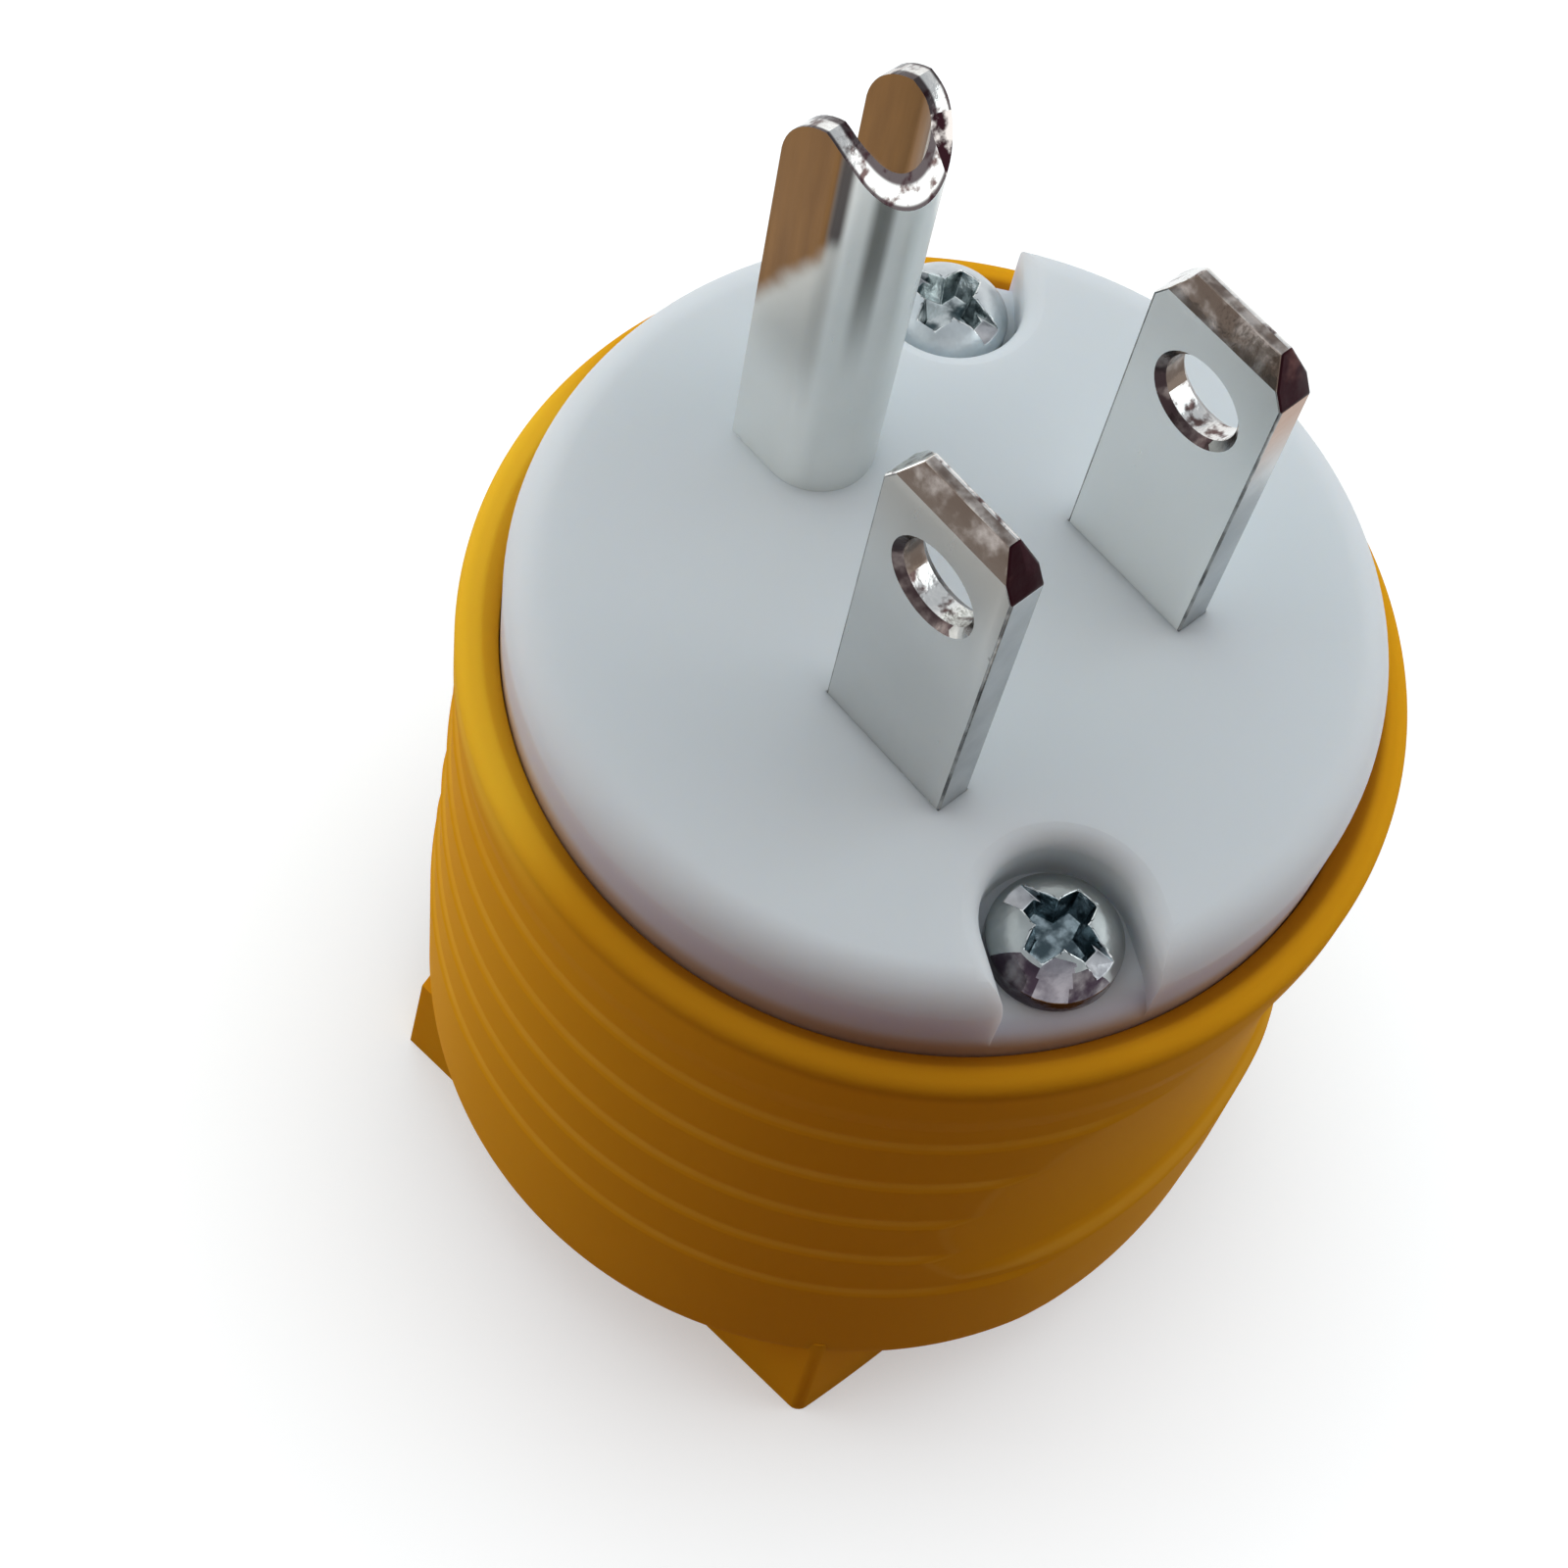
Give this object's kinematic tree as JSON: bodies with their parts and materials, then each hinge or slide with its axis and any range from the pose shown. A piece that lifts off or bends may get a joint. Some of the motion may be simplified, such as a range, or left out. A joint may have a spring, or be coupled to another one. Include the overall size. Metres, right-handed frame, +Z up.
{
  "type": "type b plug",
  "caption": "Wiring plug with flat blades, a folded ground pin, a white face with screws in open pockets, and a yellow shell with stepped grip rings, thumb scoops and a cord clamp.",
  "frame": {"origin": "centre of the flat rear end, on the plug's axis", "axes": "+Z up along the plug's axis towards the tips of the blades; +X from the hot blade to the neutral blade; +Y from the flat blades to the ground pin"},
  "size_m": [0.04, 0.0396, 0.0628],
  "materials": {
    "white_nylon": "satin moulded nylon",
    "yellow_nylon": "satin moulded nylon",
    "inner_nylon": "moulded nylon",
    "nickel_plate": "nickel plate over brass",
    "zinc_plate": "bright zinc plate",
    "screw_brass": "plain brass",
    "screw_green": "green dyed plating"
  },
  "bodies": {
    "root": {"front_face": "white_nylon", "blade_hot": "nickel_plate", "blade_neutral": "nickel_plate", "ground_pin": "nickel_plate", "terminal_block": "inner_nylon", "terminal_screw_hot": "screw_brass", "terminal_screw_neutral": "nickel_plate", "terminal_screw_ground": "screw_green", "pressure_plate_hot": "zinc_plate", "pressure_plate_neutral": "zinc_plate", "pressure_plate_ground": "zinc_plate", "shell": "yellow_nylon", "cord_jaw": "yellow_nylon", "jaw_screw_one": "zinc_plate", "jaw_screw_two": "zinc_plate", "jaw_nut_one": "zinc_plate", "jaw_nut_two": "zinc_plate", "face_screw_one": "zinc_plate", "face_screw_two": "zinc_plate", "face_nut_one": "zinc_plate", "face_nut_two": "zinc_plate"}
  },
  "joints": []
}
